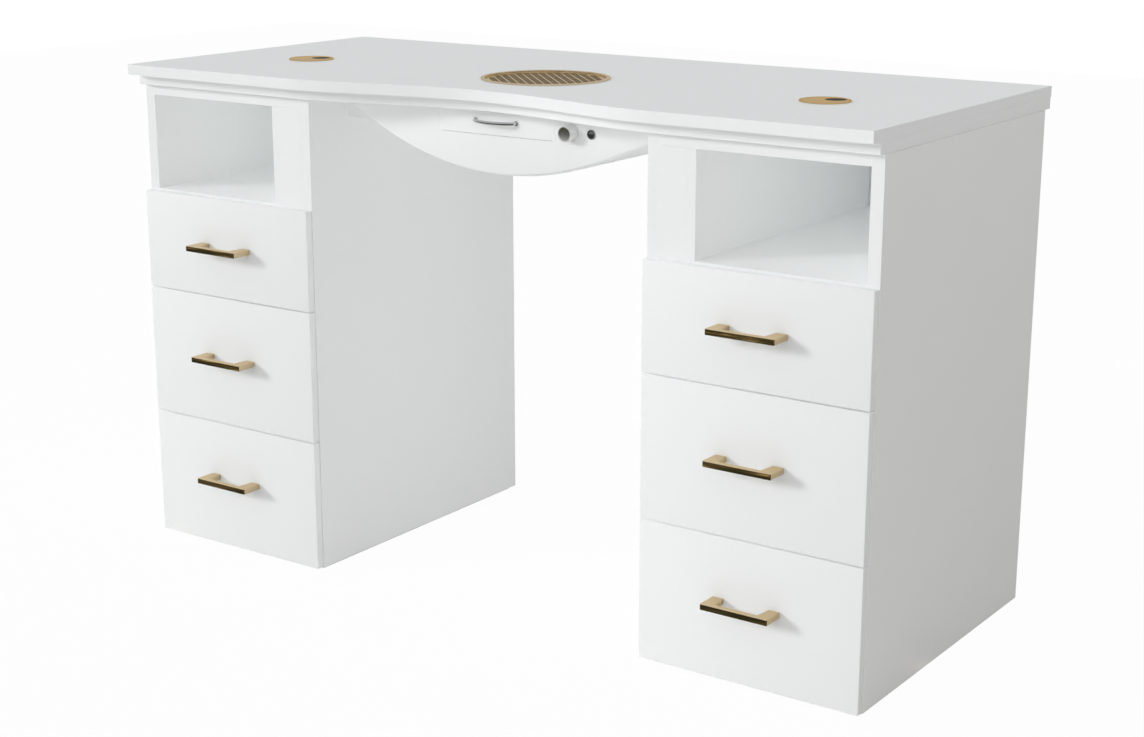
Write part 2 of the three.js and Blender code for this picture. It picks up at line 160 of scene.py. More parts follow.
# brushing: long streaks along X that vary gloss, tint and height
def makeBrushed():
    group, inside, out = newGroup(
        "brushed",
        [("Color", "NodeSocketColor", (0.8, 0.6, 0.3, 1)), ("Dark", "NodeSocketColor", (0.6, 0.42, 0.2, 1)),
         ("Rough", "NodeSocketFloat", 0.25), ("Streak", "NodeSocketFloat", 0.08),
         ("Scale", "NodeSocketFloat", 400.0)],
        [("Color", "NodeSocketColor"), ("Roughness", "NodeSocketFloat"), ("Height", "NodeSocketFloat")])
    link = group.links.new
    place = addNode(group, "ShaderNodeTexCoord")
    stretch = addNode(group, "ShaderNodeMapping", {"Scale": (0.06, 1.0, 1.0)})
    link(place.outputs["Object"], stretch.inputs["Vector"])
    hair = addNode(group, "ShaderNodeTexNoise", {"Detail": 3.0, "Roughness": 0.65})
    link(stretch.outputs["Vector"], hair.inputs["Vector"])
    link(inside.outputs["Scale"], hair.inputs["Scale"])
    patch = addNode(group, "ShaderNodeTexNoise", {"Scale": 35.0, "Detail": 3.0})
    link(place.outputs["Object"], patch.inputs["Vector"])
    blend = addNode(group, "ShaderNodeMix", data_type="RGBA")
    worn = mathNode(group, "MULTIPLY", hair.outputs["Fac"], patch.outputs["Fac"])
    link(worn, socketOf(blend.inputs, "Factor"))
    link(inside.outputs["Color"], socketOf(blend.inputs, "A"))
    link(inside.outputs["Dark"], socketOf(blend.inputs, "B"))
    link(socketOf(blend.outputs, "Result"), out.inputs["Color"])
    swing = mathNode(group, "MULTIPLY", mathNode(group, "SUBTRACT", hair.outputs["Fac"], 0.5),
                     inside.outputs["Streak"])
    link(mathNode(group, "ADD", inside.outputs["Rough"], mathNode(group, "MULTIPLY", swing, 2.0)),
         out.inputs["Roughness"])
    link(hair.outputs["Fac"], out.inputs["Height"])
    return group


mottle, peel, brushed = makeMottle(), makePeel(), makeBrushed()
print("node groups built")


# ---------- finishes ----------
def newMaterial(name, **sockets):
    material = bpy.data.materials.new(name)
    material.use_nodes = True
    tree = material.node_tree
    shader = tree.nodes["Principled BSDF"]
    for key, value in sockets.items():
        shader.inputs[key.replace("_", " ")].default_value = value
    return material, tree, shader


def placeGroup(tree, group, **values):
    node = addNode(tree, "ShaderNodeGroup", node_tree=group)
    for key, value in values.items():
        node.inputs[key.replace("_", " ")].default_value = value
    return node


def relief(tree, shader, height, strength, distance):
    bump = addNode(tree, "ShaderNodeBump", {"Strength": strength, "Distance": distance})
    tree.links.new(height, bump.inputs["Height"])
    tree.links.new(bump.outputs["Normal"], shader.inputs["Normal"])


# painted board, melamine, moulded plastic: mottled colour over a fine peel
def coatedFinish(name, look, **sockets):
    material, tree, shader = newMaterial(name, **sockets)
    skin = placeGroup(tree, mottle, Color=(*look["color"], 1), Amount=look["mottle"], Rough=look["rough"],
                      Rough_Spread=look["spread"], Scale=look["cloud"])
    tree.links.new(skin.outputs["Color"], shader.inputs["Base Color"])
    tree.links.new(skin.outputs["Roughness"], shader.inputs["Roughness"])
    grain = placeGroup(tree, peel, Scale=look["peel"], Grit=look["grit"])
    relief(tree, shader, grain.outputs["Height"], look["depth"], look["height"])
    return material


# gold, chrome and steel: streaks and worn patches
def metalFinish(name, look, **sockets):
    material, tree, shader = newMaterial(name, Metallic=1.0, **sockets)
    hair = placeGroup(tree, brushed, Color=(*look["color"], 1), Dark=(*look["dark"], 1),
                      Rough=look["rough"], Streak=look["streak"], Scale=look["scale"])
    tree.links.new(hair.outputs["Color"], shader.inputs["Base Color"])
    tree.links.new(hair.outputs["Roughness"], shader.inputs["Roughness"])
    relief(tree, shader, hair.outputs["Height"], look["depth"], 0.0002)
    return material


coats = {
    "lacquer": {"color": (0.943, 0.952, 0.951), "mottle": 0.012, "rough": 0.38, "spread": 0.05,
                "cloud": 4.0, "peel": 650.0, "grit": 0.25, "depth": 0.08, "height": 0.0004},
    "edgeBand": {"color": (0.935, 0.948, 0.948), "mottle": 0.02, "rough": 0.33, "spread": 0.06,
                 "cloud": 9.0, "peel": 900.0, "grit": 0.5, "depth": 0.1, "height": 0.0003},
    # grey board for backs, bottoms and drawer boxes, its tone darkened below the board's own colour as
    # painted shade for the back of the niches
    "melamine": {"color": (0.67, 0.675, 0.677), "mottle": 0.02, "rough": 0.5, "spread": 0.06,
                 "cloud": 7.0, "peel": 1500.0, "grit": 0.7, "depth": 0.2, "height": 0.0003},
    "shellPlastic": {"color": (0.94, 0.943, 0.945), "mottle": 0.008, "rough": 0.46, "spread": 0.03,
                     "cloud": 8.0, "peel": 900.0, "grit": 0.2, "depth": 0.03, "height": 0.0002},
    "rubberBlack": {"color": (0.012, 0.012, 0.013), "mottle": 0.3, "rough": 0.5, "spread": 0.12,
                    "cloud": 60.0, "peel": 2600.0, "grit": 0.8, "depth": 0.35, "height": 0.0003},
    "fanPlastic": {"color": (0.022, 0.023, 0.026), "mottle": 0.2, "rough": 0.45, "spread": 0.1,
                   "cloud": 30.0, "peel": 2200.0, "grit": 0.6, "depth": 0.25, "height": 0.0003},
    "inletPlastic": {"color": (0.018, 0.018, 0.02), "mottle": 0.2, "rough": 0.4, "spread": 0.1,
                     "cloud": 50.0, "peel": 2000.0, "grit": 0.6, "depth": 0.25, "height": 0.0003},
    "glidePlastic": {"color": (0.55, 0.55, 0.54), "mottle": 0.15, "rough": 0.6, "spread": 0.1,
                     "cloud": 40.0, "peel": 1800.0, "grit": 0.9, "depth": 0.3, "height": 0.0003},
    "nylonWhite": {"color": (0.75, 0.75, 0.72), "mottle": 0.05, "rough": 0.42, "spread": 0.08,
                   "cloud": 60.0, "peel": 1500.0, "grit": 0.4, "depth": 0.12, "height": 0.0003},
    "runnerPaint": {"color": (0.72, 0.72, 0.71), "mottle": 0.06, "rough": 0.36, "spread": 0.08,
                    "cloud": 25.0, "peel": 1100.0, "grit": 0.5, "depth": 0.25, "height": 0.0004},
}
metals = {
    "goldSatin": {"color": (0.70, 0.56, 0.365), "dark": (0.60, 0.47, 0.29), "rough": 0.24, "streak": 0.10,
                  "scale": 900.0, "depth": 0.05, "edge": (0.97, 0.89, 0.74)},
    "goldGrille": {"color": (0.79, 0.66, 0.46), "dark": (0.70, 0.57, 0.38), "rough": 0.24, "streak": 0.08,
                   "scale": 700.0, "depth": 0.03, "edge": (0.97, 0.89, 0.74)},
    "goldPolished": {"color": (0.80, 0.60, 0.32), "dark": (0.70, 0.50, 0.25), "rough": 0.05, "streak": 0.03,
                     "scale": 700.0, "depth": 0.01, "edge": (0.95, 0.82, 0.55)},
    "goldDisc": {"color": (0.76, 0.55, 0.27), "dark": (0.66, 0.46, 0.21), "rough": 0.14, "streak": 0.03,
                 "scale": 300.0, "depth": 0.01, "edge": (0.93, 0.73, 0.42)},
    "chrome": {"color": (0.62, 0.63, 0.64), "dark": (0.50, 0.51, 0.52), "rough": 0.05, "streak": 0.03,
               "scale": 800.0, "depth": 0.01, "edge": (1, 1, 1)},
    "satinChrome": {"color": (0.66, 0.66, 0.65), "dark": (0.56, 0.56, 0.55), "rough": 0.24, "streak": 0.08,
                    "scale": 1100.0, "depth": 0.03, "edge": (1, 1, 1)},
    "brightChrome": {"color": (0.90, 0.90, 0.89), "dark": (0.82, 0.82, 0.81), "rough": 0.3, "streak": 0.06,
                     "scale": 1100.0, "depth": 0.02, "edge": (1, 1, 1)},
    "darkChrome": {"color": (0.30, 0.30, 0.31), "dark": (0.22, 0.22, 0.23), "rough": 0.22, "streak": 0.06,
                   "scale": 900.0, "depth": 0.02, "edge": (0.75, 0.75, 0.76)},
    "zincScrew": {"color": (0.62, 0.62, 0.60), "dark": (0.45, 0.45, 0.44), "rough": 0.3, "streak": 0.14,
                  "scale": 1500.0, "depth": 0.1, "edge": (1, 1, 1)},
}
dielectric = {"shellPlastic": {"Specular_IOR_Level": 0.3}}
finish = {name: coatedFinish(name, look, **dielectric.get(name, {})) for name, look in coats.items()}
for name, look in metals.items():
    finish[name] = metalFinish(name, look, Specular_Tint=(*look["edge"], 1))


def pleatedPaper():
    material, tree, shader = newMaterial("filterPaper", Roughness=0.95)
    place = addNode(tree, "ShaderNodeTexCoord")
    fibre = addNode(tree, "ShaderNodeTexNoise", {"Scale": 900.0, "Detail": 5.0, "Roughness": 0.75})
    dust = addNode(tree, "ShaderNodeTexNoise", {"Scale": 28.0, "Detail": 4.0})
    tint = addNode(tree, "ShaderNodeValToRGB")
    tint.color_ramp.elements[0].position = 0.3
    tint.color_ramp.elements[0].color = (0.10, 0.065, 0.04, 1)
    tint.color_ramp.elements[1].position = 0.75
    tint.color_ramp.elements[1].color = (0.24, 0.18, 0.13, 1)
    for texture in (fibre, dust):
        tree.links.new(place.outputs["Object"], texture.inputs["Vector"])
    both = mathNode(tree, "ADD", fibre.outputs["Fac"], dust.outputs["Fac"])
    mixed = mathNode(tree, "MULTIPLY", both, 0.5)
    tree.links.new(mixed, tint.inputs["Fac"])
    tree.links.new(tint.outputs["Color"], shader.inputs["Base Color"])
    relief(tree, shader, fibre.outputs["Fac"], 0.4, 0.0004)
    return material


# reticulated foam behind the grille: brown strands, with the cell middles painted darker as painted shade
# in the pits; the whole dark brown tone is partly painted shade for the depth seen through the grille
def prefilterFoam():
    material, tree, shader = newMaterial("prefilterFoam", Roughness=0.9)
    place = addNode(tree, "ShaderNodeTexCoord")
    cells = addNode(tree, "ShaderNodeTexVoronoi", {"Scale": 620.0}, feature="DISTANCE_TO_EDGE")
    tree.links.new(place.outputs["Object"], cells.inputs["Vector"])
    # painted shade: darker towards each cell's middle, and dark brown overall for the depth under the
    # grille
    tint = addNode(tree, "ShaderNodeValToRGB")
    tint.color_ramp.elements[0].position = 0.05
    tint.color_ramp.elements[0].color = (0.17, 0.14, 0.11, 1)
    tint.color_ramp.elements[1].position = 0.45
    tint.color_ramp.elements[1].color = (0.07, 0.058, 0.046, 1)
    tree.links.new(cells.outputs["Distance"], tint.inputs["Fac"])
    tree.links.new(tint.outputs["Color"], shader.inputs["Base Color"])
    pits = mathNode(tree, "MULTIPLY", cells.outputs["Distance"], -1.0)
    relief(tree, shader, pits, 0.6, 0.0006)
    return material


finish["filterPaper"] = pleatedPaper()
finish["prefilterFoam"] = prefilterFoam()
print("finishes made:", len(finish))


# ---------- shared modelling steps ----------
shared = {"weld": 0.02 * mm, "faceWeight": 60}


# a CAD node's mesh with its corners merged; flat is the angle in degrees under which faces join up
def solidCopy(node, flat=0.4):
    bm = bmesh.new()
    bm.from_mesh(nodes[node].data)
    bmesh.ops.remove_doubles(bm, verts=bm.verts, dist=shared["weld"])
    if flat:
        bmesh.ops.dissolve_limit(bm, angle_limit=math.radians(flat), verts=bm.verts, edges=bm.edges)
    return bm


def block(bm, low, high):
    made = bmesh.ops.create_cube(bm, size=1)["verts"]
    low, high = Vector(low), Vector(high)
    bmesh.ops.scale(bm, vec=high - low, verts=made)
    bmesh.ops.translate(bm, vec=(high + low) / 2, verts=made)


# rounds every edge that turns by more than 30 degrees
def soften(bm, width, segments=2):
    limit = math.radians(30)
    edges = [e for e in bm.edges if len(e.link_faces) == 2 and e.calc_face_angle() > limit]
    bmesh.ops.bevel(bm, geom=edges, offset=width, offset_type="OFFSET", segments=segments, profile=0.5,
                    affect="EDGES", clamp_overlap=True, material=-1)


# a closed profile of (radius, height) pairs, spun about the Z axis
def turnProfile(bm, profile, steps=64):
    verts = [bm.verts.new((r, 0, z)) for r, z in profile]
    edges = [bm.edges.new((a, b)) for a, b in zip(verts, verts[1:] + verts[:1])]
    bmesh.ops.spin(bm, geom=verts + edges, cent=(0, 0, 0), axis=(0, 0, 1), dvec=(0, 0, 0),
                   angle=2 * math.pi, steps=steps, use_merge=True, use_duplicate=False)
    bmesh.ops.remove_doubles(bm, verts=bm.verts, dist=1e-6)
    bmesh.ops.recalc_face_normals(bm, faces=bm.faces)


def makePiece(name, bm, body, looks, replaces=(), sharp=35, weighted=True):
    for face in bm.faces:
        face.smooth = True
    limit = math.radians(sharp)
    for edge in bm.edges:
        edge.smooth = not (len(edge.link_faces) == 2 and edge.calc_face_angle() > limit)
    mesh = bpy.data.meshes.new(name)
    bm.to_mesh(mesh)
    bm.free()
    for look in looks if isinstance(looks, (list, tuple)) else [looks]:
        mesh.materials.append(finish[look])
    piece = bpy.data.objects.new(name, mesh)
    bpy.context.scene.collection.objects.link(piece)
    if weighted:
        modifier = piece.modifiers.new("evenShading", "WEIGHTED_NORMAL")
        modifier.keep_sharp = True
        modifier.weight = shared["faceWeight"]
    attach(piece, body)
    if replaces:
        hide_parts(*replaces)
    return piece


def camel(node):
    head, *rest = node.split("_")
    return head + "".join(word.capitalize() for word in rest)


# ---------- boards ----------
boardEdge = {"segments": 3, "rail": 0.9 * mm, "worktop": 1.4 * mm, "underTop": 1.2 * mm, "side": 0.3 * mm,
             "drawerFront": 1.0 * mm, "glued": 0.15 * mm, "gluedGrow": 0.13 * mm, "raw": 0.4 * mm,
             "glide": 0.6 * mm}


# narrow faces carry the edge band, the two wide faces the board's own surface
def bandEdges(bm, low, high):
    size = high - low
    thin = min(range(3), key=lambda k: size[k])
    for face in bm.faces:
        face.material_index = 0 if abs(face.normal[thin]) > 0.9 else 1


def boardPiece(node, body, look, radius, weighted=True, grow=0):
    low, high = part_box(node)
    middle = (low + high) / 2
    bm = solidCopy(node)
    if grow:
        for vert in bm.verts:
            vert.co += Vector([math.copysign(grow, vert.co[k] - middle[k]) for k in range(3)])
    soften(bm, radius, boardEdge["segments"])
    bandEdges(bm, low, high)
    return makePiece(camel(node), bm, body, [look, "edgeBand"], [node], weighted=weighted)


boardPiece("worktop", "root", "lacquer", boardEdge["worktop"])
boardPiece("under_top", "root", "lacquer", boardEdge["underTop"])
for rail in ("front_rail_left", "front_rail_right", "rear_rail"):
    boardPiece(rail, "root", "lacquer", boardEdge["rail"])
for side in ("left", "right"):
    for part in ("inner_side", "outer_side"):
        boardPiece(f"pedestal_{side}_{part}", "root", "lacquer", boardEdge["side"])
    # dowelled and glued to each other, so their joints all but close
    for part in ("niche_floor", "niche_wall", "niche_stile"):
        boardPiece(f"pedestal_{side}_{part}", "root", "lacquer", boardEdge["glued"],
                   grow=boardEdge["gluedGrow"])
    boardPiece(f"pedestal_{side}_top", "root", "lacquer", boardEdge["glued"])
    # backs and bottoms in the grey board, whose darkened tone is painted shade at the niche backs
    for part in ("back", "bottom"):
        boardPiece(f"pedestal_{side}_{part}", "root", "melamine", boardEdge["raw"])
    for part in ("glide_inner", "glide_outer"):
        node = f"pedestal_{side}_{part}"
        bm = solidCopy(node)
        soften(bm, boardEdge["glide"])
        makePiece(camel(node), bm, "root", "glidePlastic", [node])
print("boards done")

# ---------- drawers ----------
drawerBox = {"side": 12 * mm, "base": 6 * mm, "edge": 0.8 * mm, "glueGap": 0.05 * mm}
runner = {"length": 450 * mm, "inset": 6 * mm, "lift": 3 * mm, "height": 30 * mm, "steel": 1.2 * mm,
          "flange": 8 * mm, "lip": 3 * mm, "wallGap": 0.15 * mm, "boxGap": 0.1 * mm}
rider = {"front": 2 * mm, "tail": 12 * mm, "low": 6 * mm, "high": 22.6 * mm, "shelf": 6 * mm}
roller = {"radius": 7.5 * mm, "width": 5 * mm, "edge": 0.6 * mm, "segments": 28, "lift": 12.5 * mm,
          "mouth": 9 * mm, "tail": 20 * mm, "offWall": 5 * mm, "offBox": 6 * mm}
handleScrew = {"radius": 4.2 * mm, "height": 2.4 * mm, "spread": 42.5 * mm, "gap": 0.05 * mm}
handleEdge = {"width": 0.45 * mm, "segments": 3}


def drawerBoards(node, body):
    low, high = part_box(node)
    side, base = drawerBox["side"], drawerBox["base"]
    parts = {
        "SideLow": ((low.x, low.y, low.z), (low.x + side, high.y, high.z)),
        "SideHigh": ((high.x - side, low.y, low.z), (high.x, high.y, high.z)),
        "Head": ((low.x + side, low.y, low.z), (high.x - side, low.y + side, high.z)),
        "Tail": ((low.x + side, high.y - side, low.z), (high.x - side, high.y, high.z)),
        "Base": ((low.x + side, low.y + side, low.z), (high.x - side, high.y - side, low.z + base)),
    }
    gap = drawerBox["glueGap"]
    for word, (a, b) in parts.items():
        bm = bmesh.new()
        inset = Vector((gap, gap, 0)) if word in ("Head", "Tail", "Base") else Vector()
        block(bm, Vector(a) + inset, Vector(b) - inset)
        soften(bm, drawerBox["edge"])
        bandEdges(bm, Vector(a), Vector(b))
        makePiece(camel(node) + word, bm, body, ["melamine", "edgeBand"], [node])


def rollerAt(bm, x, y, z):
    made = bmesh.ops.create_cone(bm, cap_ends=True, segments=roller["segments"], radius1=roller["radius"],
                                 radius2=roller["radius"], depth=roller["width"])["verts"]
    rims = [e for e in {e for v in made for e in v.link_edges} if e.calc_face_angle() > 1]
    bmesh.ops.rotate(bm, verts=made, cent=(0, 0, 0), matrix=Matrix.Rotation(math.pi / 2, 3, "Y"))
    bmesh.ops.translate(bm, verts=made, vec=(x, y, z))
    for face in {f for v in made for f in v.link_faces}:
        face.material_index = 1
    bmesh.ops.bevel(bm, geom=rims, offset=roller["edge"], offset_type="OFFSET", segments=2, profile=0.5,
                    affect="EDGES", clamp_overlap=True, material=-1)


# a C-channel on the cabinet with a roller at its mouth, and an angle on the drawer with one at its tail
def runnerPair(node, body, sideName, sidePanel):
    low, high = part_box(node)
    panelLow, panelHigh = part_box(sidePanel)
    out = -1 if panelLow.x < low.x else 1      # towards the panel
    wall = (panelHigh.x if out < 0 else panelLow.x) - out * runner["wallGap"]
    skin = (low.x if out < 0 else high.x) + out * runner["boxGap"]
    steel, flange = runner["steel"], runner["flange"]
    front, back = low.y + runner["inset"], low.y + runner["length"]
    foot = low.z + runner["lift"]
    top = foot + runner["height"]

    def bar(bm, x0, x1, y0, y1, z0, z1):
        block(bm, (min(x0, x1), y0, z0), (max(x0, x1), y1, z1))

    bm = bmesh.new()
    bar(bm, wall, wall - out * steel, front, back, foot, top)
    bar(bm, wall, wall - out * flange, front, back, foot, foot + steel)
    bar(bm, wall, wall - out * flange, front, back, top - steel, top)
    bar(bm, wall - out * (flange - steel), wall - out * flange, front, back, foot, foot + runner["lip"])
    rollerAt(bm, wall - out * roller["offWall"], front + roller["mouth"], foot + roller["lift"])
    makePiece(camel(node) + f"Cabinet{sideName}", bm, "root", ["runnerPaint", "nylonWhite"],
              weighted=False)

    near, far = low.y + rider["front"], back - rider["tail"]
    shelf = foot + rider["high"]
    bm = bmesh.new()
    bar(bm, skin, skin + out * steel, near, far, foot + rider["low"], shelf)
    bar(bm, skin, skin + out * rider["shelf"], near, far, shelf - steel, shelf)
    rollerAt(bm, skin + out * roller["offBox"], back - roller["tail"], foot + roller["lift"])
    makePiece(camel(node) + f"Rider{sideName}", bm, body, ["runnerPaint", "nylonWhite"],
              weighted=False)


def panHead(bm, place, radius, height, facing):
    made = bmesh.ops.create_uvsphere(bm, u_segments=20, v_segments=10, radius=radius)["verts"]
    lower = [v for v in made if v.co.z < -1e-6]
    bmesh.ops.delete(bm, geom=lower, context="VERTS")
    made = [v for v in made if v.is_valid]
    rim = [e for e in {e for v in made for e in v.link_edges} if len(e.link_faces) == 1]
    bmesh.ops.holes_fill(bm, edges=rim)
    bmesh.ops.scale(bm, vec=(1, 1, height / radius), verts=made)
    turn = Vector((0, 0, 1)).rotation_difference(Vector(facing)).to_matrix()
    bmesh.ops.rotate(bm, verts=made, cent=(0, 0, 0), matrix=turn)
    bmesh.ops.translate(bm, verts=made, vec=place)


def drawerScrews(node, boxNode, body):
    low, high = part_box(node)
    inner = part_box(boxNode)[0].y + drawerBox["side"]
    bm = bmesh.new()
    for shift in (-1, 1):
        x = (low.x + high.x) / 2 + shift * handleScrew["spread"]
        panHead(bm, (x, inner + handleScrew["gap"], (low.z + high.z) / 2), handleScrew["radius"],
                handleScrew["height"], (0, 1, 0))
    makePiece(camel(node) + "Screws", bm, body, "zincScrew")


# pulls are cut from flat bar: satin all round, polished on the front edge
def handlePiece(node, body):
    bm = solidCopy(node)
    soften(bm, handleEdge["width"], handleEdge["segments"])
    for face in bm.faces:
        face.material_index = 1 if face.normal.y < -0.9 else 0
    makePiece(camel(node), bm, body, ["goldSatin", "goldPolished"], [node])


for side in ("left", "right"):
    for level in ("top", "middle", "bottom"):
        body = f"drawer_{side}_{level}"
        boardPiece(f"{body}_front", body, "lacquer", boardEdge["drawerFront"],
                   weighted=False)
        drawerBoards(f"{body}_box", body)
        handlePiece(f"{body}_handle", body)
        drawerScrews(f"{body}_handle", f"{body}_box", body)
        runnerPair(f"{body}_box", body, "Inner", f"pedestal_{side}_inner_side")
        runnerPair(f"{body}_box", body, "Outer", f"pedestal_{side}_outer_side")
print("drawers done")

# ---------- grille ----------
grilleLook = {"edge": 0.35 * mm, "foamRadius": 84.5 * mm, "foamThick": 1.0 * mm, "foamDrop": 0.25 * mm}


# the foam disc lies under the plate and lifts out with it; its dark brown is partly painted shade for the
# depth under the grille
def grilleFoam():
    low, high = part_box("grille_plate")
    middle = (low + high) / 2
    bm = bmesh.new()
    made = bmesh.ops.create_cone(bm, cap_ends=True, segments=72, radius1=grilleLook["foamRadius"],
                                 radius2=grilleLook["foamRadius"], depth=grilleLook["foamThick"])["verts"]
    z = low.z - grilleLook["foamDrop"] - grilleLook["foamThick"] / 2
    bmesh.ops.translate(bm, verts=made, vec=(middle.x, middle.y, z))
    makePiece("grilleFoam", bm, "grille_plate", "prefilterFoam", sharp=40)


makePiece("grilleRing", solidCopy("grille_ring", 0), "root", "goldGrille", ["grille_ring"],
          sharp=28)
bm = solidCopy("grille_plate")
soften(bm, grilleLook["edge"])
makePiece("grillePlate", bm, "grille_plate", "goldGrille", ["grille_plate"])
grilleFoam()
print("grille done")

# ---------- cable grommets ----------
sealLook = {"petals": 8, "rows": 3, "slit": 0.35 * mm, "throat": 4.0 * mm, "drop": 1.6 * mm, "curl": 1.6,
            "thick": 0.7 * mm, "inset": 0.4 * mm, "below": 1.1 * mm}
# (from the rim, height) in millimetres
sealCollar = [(-0.5, 0.3), (-0.5, -1.4), (0.35, -1.4), (0.35, 0.9), (0, 1.0)]
capEdge = 0.3 * mm


# one row of a petal, from the rim (share 0) to its tip (share 1), with half a slit left free on either side
def petalRow(rim, share, start, end):
    radius = rim + (sealLook["throat"] - rim) * share
    half = sealLook["slit"] / 2 / radius
    sag = sealLook["drop"] * share ** sealLook["curl"]
    angles = (start + half, (start + end) / 2, end - half)
    return [Vector((radius * math.cos(a), radius * math.sin(a), -sag)) for a in angles]


# a rubber diaphragm slit into petals that sag towards the middle, inside a round collar
def sealPetals(node, body):
    low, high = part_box(node)
    middle = (low + high) / 2
    rim = (high.x - low.x) / 2 - sealLook["inset"]
    bm = bmesh.new()
    for i in range(sealLook["petals"]):
        start, end = (2 * math.pi * (i + k) / sealLook["petals"] for k in (0, 1))
        corners = [bm.verts.new(place) for place in petalRow(rim, 0, start, end)]
        row = [bm.edges.new(pair) for pair in zip(corners, corners[1:])]
        for step in range(1, sealLook["rows"] + 1):
            made = bmesh.ops.extrude_edge_only(bm, edges=row)["geom"]
            row = [e for e in made if isinstance(e, bmesh.types.BMEdge)]
            tips = [v for v in made if isinstance(v, bmesh.types.BMVert)]
            tips.sort(key=lambda v: (math.atan2(v.co.y, v.co.x) - start) % (2 * math.pi))
            for vert, place in zip(tips, petalRow(rim, step / sealLook["rows"], start, end)):
                vert.co = place
    bmesh.ops.recalc_face_normals(bm, faces=bm.faces)
    bmesh.ops.solidify(bm, geom=bm.faces[:], thickness=sealLook["thick"])
    turnProfile(bm, [(rim + r * mm, z * mm) for r, z in sealCollar], 48)
    bmesh.ops.translate(bm, verts=bm.verts, vec=(middle.x, middle.y, high.z - sealLook["below"]))
    makePiece(camel(node), bm, body, "rubberBlack", [node], sharp=50)


for side in ("left", "right"):
    ring = f"grommet_{side}_ring"
    makePiece(camel(ring), solidCopy(ring, 0), "root", "goldDisc", [ring], sharp=28)
    cap = f"grommet_{side}_cap"
    bm = solidCopy(cap)
    soften(bm, capEdge)
    makePiece(camel(cap), bm, cap, "goldDisc", [cap])
    sealPetals(f"grommet_{side}_seal", cap)
print("grommets done")

# ---------- dust collector ----------
makePiece("collectorHousing", solidCopy("collector_housing", 0), "root", "shellPlastic",
          ["collector_housing"], sharp=24, weighted=False)
makePiece("filterTray", solidCopy("filter_tray", 0), "filter_tray", "shellPlastic",
          ["filter_tray"], sharp=24, weighted=False)

# the collar's profile is (radius, height) in millimetres
bow = {
    "bar": 2.1 * mm, "fuller": 0.35 * mm, "rootDepth": 1.5 * mm,
    "collar": [(2.2, 0.1), (3.7, 0.1), (3.7, 0.9), (3.4, 1.4), (2.2, 1.7)],
}


# bow pull with a small collar where each foot meets the tray's front
def trayPull(node, body):
    low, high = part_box(node)
    bm = solidCopy(node, 0)
    bm.normal_update()
    for vert in bm.verts:
        if vert.co.y < high.y - bow["rootDepth"]:
            vert.co += vert.normal * bow["fuller"]
    foot = (high.x - low.x) / 2 - bow["bar"]
    upright = Matrix.Rotation(math.pi / 2, 3, "X")
    for shift in (-1, 1):
        collar = bmesh.new()
        turnProfile(collar, [(r * mm, z * mm) for r, z in bow["collar"]], 32)
        bmesh.ops.rotate(collar, verts=collar.verts, cent=(0, 0, 0), matrix=upright)
        bmesh.ops.translate(collar, verts=collar.verts,
                            vec=((low.x + high.x) / 2 + shift * foot, high.y, high.z - bow["bar"]))
        spare = bpy.data.meshes.new("collar")
        collar.to_mesh(spare)
        collar.free()
        bm.from_mesh(spare)
        bpy.data.meshes.remove(spare)
    makePiece(camel(node), bm, body, "chrome", [node], sharp=50, weighted=False)


trayPull("tray_handle", "filter_tray")
makePiece("filterCartridge", solidCopy("filter_cartridge", 0), "filter_tray", "filterPaper",
          ["filter_cartridge"], sharp=30)
mouldedEdge = 0.5 * mm
for node, body in (("fan_frame", "root"), ("fan_rotor", "fan_rotor")):
    bm = solidCopy(node)
    soften(bm, mouldedEdge)
    makePiece(camel(node), bm, body, "fanPlastic", [node])

# (radius, height) in millimetres, from the housing's face outwards
controls = {
    "tilt": math.atan(0.016),      # the housing's face looks a little downwards
    "segments": 72, "knobReach": 15.6, "buttonReach": 1.7,
    "knob": [(0, -12), (3, -12), (3, 1.1), (12.2, 1.1), (12.2, 2.3), (12.0, 2.7), (11.6, 3.1), (11.1, 3.7),
             (10.6, 14.4), (10.4, 15.2), (9.9, 15.6), (9.5, 15.5), (9.0, 15.1), (8.6, 14.95), (0, 14.4)],
    "button": [(0, -10), (6.35, -10), (6.35, 0.9), (6.15, 1.4), (5.7, 1.7), (5.1, 1.6), (4.8, 1.2),
               (4.7, 0.3), (4.3, 0.3), (4.25, 0.9), (3.9, 1.25), (2.2, 1.4), (0, 1.45)],
    "speedControl": [(3.4, -4.3), (8.2, -4.3), (8.2, -11.2), (7.6, -11.8), (3.4, -11.8)],
}


def turnedOnFace(node, profile, reach):
    low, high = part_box(node)
    bm = bmesh.new()
    turnProfile(bm, [(r * mm, z * mm) for r, z in profile], controls["segments"])
    tilt = Matrix.Rotation(math.pi / 2 + controls["tilt"], 3, "X")
    bmesh.ops.rotate(bm, verts=bm.verts, cent=(0, 0, 0), matrix=tilt)
    middle = (low + high) / 2
    bmesh.ops.translate(bm, verts=bm.verts, vec=(middle.x, low.y + reach * mm, middle.z))
    return bm


bm = turnedOnFace("speed_knob", controls["knob"], controls["knobReach"])
for face in bm.faces:
    face.material_index = 0 if face.normal.y < -0.9 else 1      # spun front, brighter turned side
makePiece("speedKnob", bm, "speed_knob", ["satinChrome", "brightChrome"], ["speed_knob"],
          sharp=40)
bm = turnedOnFace("power_button", controls["button"], controls["buttonReach"])
makePiece("powerButton", bm, "power_button", "darkChrome", ["power_button"], sharp=40)
bm = turnedOnFace("speed_knob", controls["speedControl"], controls["knobReach"])      # sits behind the knob
makePiece("speedControl", bm, "root", "fanPlastic", sharp=30)
bm = solidCopy("power_inlet")
soften(bm, mouldedEdge)
makePiece("powerInlet", bm, "root", "inletPlastic", ["power_inlet"])
